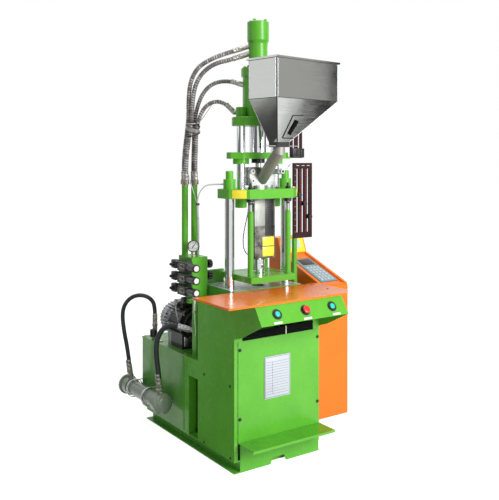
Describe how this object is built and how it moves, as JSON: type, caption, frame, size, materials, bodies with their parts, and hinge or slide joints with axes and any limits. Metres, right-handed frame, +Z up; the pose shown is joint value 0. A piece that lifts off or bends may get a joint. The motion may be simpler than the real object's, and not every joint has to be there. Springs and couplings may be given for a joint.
{
  "type": "injection moulding machine",
  "caption": "Upright hydraulic injection moulding machine with work table, side electrical cabinet, hopper and rear oil tank with cooler",
  "frame": {"origin": "on the floor, below the injection axis", "axes": "+X to the operator's right, -Y towards the operator, +Z up"},
  "size_m": [0.9653, 1.27, 2.222],
  "materials": {
    "green_paint": "gloss",
    "orange_paint": "gloss",
    "chrome": "polished",
    "stainless": "brushed",
    "machined": "ground",
    "tube_steel": "brushed",
    "black_plastic": "matte",
    "black_steel": "satin",
    "rack_red": "satin",
    "motor_black": "satin",
    "cooler_green": "satin",
    "zinc": "satin",
    "hose_rubber": "matte",
    "hose_wrap": "mottled",
    "clear_tube": "gloss",
    "button_green": "gloss",
    "button_red": "gloss",
    "needle": "satin"
  },
  "bodies": {
    "root": {"base_frame": "green_paint", "cabinet_shell": "green_paint", "front_panel": "green_paint", "button_panel": "green_paint", "button_rings": "black_plastic", "table_top": "orange_paint", "fixed_platen": "machined", "clamp_cylinder": "green_paint", "oil_tank": "green_paint", "oil_cooler": "cooler_green", "cooler_straps": "zinc", "pump_motor": "motor_black", "manifold": "green_paint", "solenoid_valves": "black_plastic", "pressure_gauge": "stainless", "riser_pipes": "green_paint", "limit_rack": "rack_red", "electrical_cabinet": "orange_paint", "motor_hose_upper": "hose_wrap", "motor_hose_lower": "hose_wrap", "injection_hose_upper": "hose_wrap", "injection_hose_lower": "hose_wrap", "cooler_hose_front": "hose_rubber", "cooler_hose_rear": "hose_rubber", "hose_fittings": "zinc", "lube_tube": "clear_tube"},
    "clamp_frame": {"head_plate": "green_paint", "tie_bars": "chrome", "column_caps": "green_paint", "clamp_crosshead": "machined", "mould_plate": "green_paint", "cage_posts": "green_paint", "guide_columns": "chrome", "top_plate": "green_paint", "injection_cylinder": "green_paint", "cylinder_ports": "zinc", "feed_block": "machined", "barrel": "machined", "barrel_cover": "stainless", "feed_tube": "tube_steel", "hopper": "stainless", "injection_rack": "rack_red", "heater_cable": "black_plastic"},
    "injection_carriage": {"injection_plate": "green_paint", "piston_rod": "chrome"},
    "screw_set": {"screw": "chrome", "coupling": "black_steel"},
    "hopper_slide": {"hopper_gate": "stainless"},
    "left_slider": {"rack_slider_left": "black_steel"},
    "middle_slider": {"rack_slider_middle": "black_steel"},
    "right_slider": {"rack_slider_right": "black_steel"},
    "door": {"cabinet_door": "orange_paint"},
    "tank_breather": {"breather_cap": "black_plastic"},
    "upper_relief": {"relief_knob_upper": "black_plastic"},
    "lower_relief": {"relief_knob_lower": "black_plastic"},
    "star_grip": {"star_knob": "black_plastic"},
    "needle": {"gauge_needle": "needle"},
    "left_button": {"start_button_left": "button_green"},
    "right_button": {"start_button_right": "button_green"},
    "red_button": {"stop_button": "button_red"}
  },
  "joints": [
    {"name": "clamp_slide", "type": "slide", "parent": "root", "child": "clamp_frame", "axis": [0, 0, 1], "range_m": [-0.025, 0.15], "deforming": ["motor_hose_upper", "motor_hose_lower", "injection_hose_upper", "injection_hose_lower", "lube_tube"]},
    {"name": "injection_slide", "type": "slide", "parent": "clamp_frame", "child": "injection_carriage", "axis": [0, 0, 1], "range_m": [-0.015, 0.115]},
    {"name": "screw_spin", "type": "hinge", "parent": "injection_carriage", "child": "screw_set", "pos_m": [0, 0, 1.4], "axis": [0, 0, 1], "continuous": true},
    {"name": "gate_slide", "type": "slide", "parent": "clamp_frame", "child": "hopper_slide", "axis": [0.9903, 0.1392, 0], "range_m": [0, 0.12]},
    {"name": "left_slider_slide", "type": "slide", "parent": "root", "child": "left_slider", "axis": [0, 0, 1], "range_m": [-0.18, 0.13]},
    {"name": "middle_slider_slide", "type": "slide", "parent": "root", "child": "middle_slider", "axis": [0, 0, 1], "range_m": [-0.13, 0.18]},
    {"name": "right_slider_slide", "type": "slide", "parent": "root", "child": "right_slider", "axis": [0, 0, 1], "range_m": [-0.06, 0.25]},
    {"name": "door_hinge", "type": "hinge", "parent": "root", "child": "door", "pos_m": [0.5045, 0.324, 0.462], "axis": [0, 0, 1], "range_deg": [0, 110]},
    {"name": "breather_lift", "type": "slide", "parent": "root", "child": "tank_breather", "axis": [0, 0, 1], "range_m": [0, 0.06]},
    {"name": "upper_relief_turn", "type": "hinge", "parent": "root", "child": "upper_relief", "pos_m": [-0.216, 0.175, 0.943], "axis": [1, 0, 0], "continuous": true},
    {"name": "lower_relief_turn", "type": "hinge", "parent": "root", "child": "lower_relief", "pos_m": [-0.216, 0.175, 0.881], "axis": [1, 0, 0], "continuous": true},
    {"name": "star_grip_turn", "type": "hinge", "parent": "root", "child": "star_grip", "pos_m": [-0.302, 0.217, 0.757], "axis": [-1, 0, 0], "continuous": true},
    {"name": "needle_turn", "type": "hinge", "parent": "root", "child": "needle", "pos_m": [-0.291, 0.172, 1.042], "axis": [-0.4226, -0.9063, 0], "range_deg": [-135, 135]},
    {"name": "left_button_press", "type": "slide", "parent": "root", "child": "left_button", "axis": [0, 0.8352, -0.55], "range_m": [0, 0.004], "stiffness_N_per_m": 400},
    {"name": "right_button_press", "type": "slide", "parent": "root", "child": "right_button", "axis": [0, 0.8352, -0.55], "range_m": [0, 0.004], "stiffness_N_per_m": 400},
    {"name": "red_button_press", "type": "slide", "parent": "root", "child": "red_button", "axis": [0, 0.8352, -0.55], "range_m": [0, 0.004], "stiffness_N_per_m": 400}
  ]
}
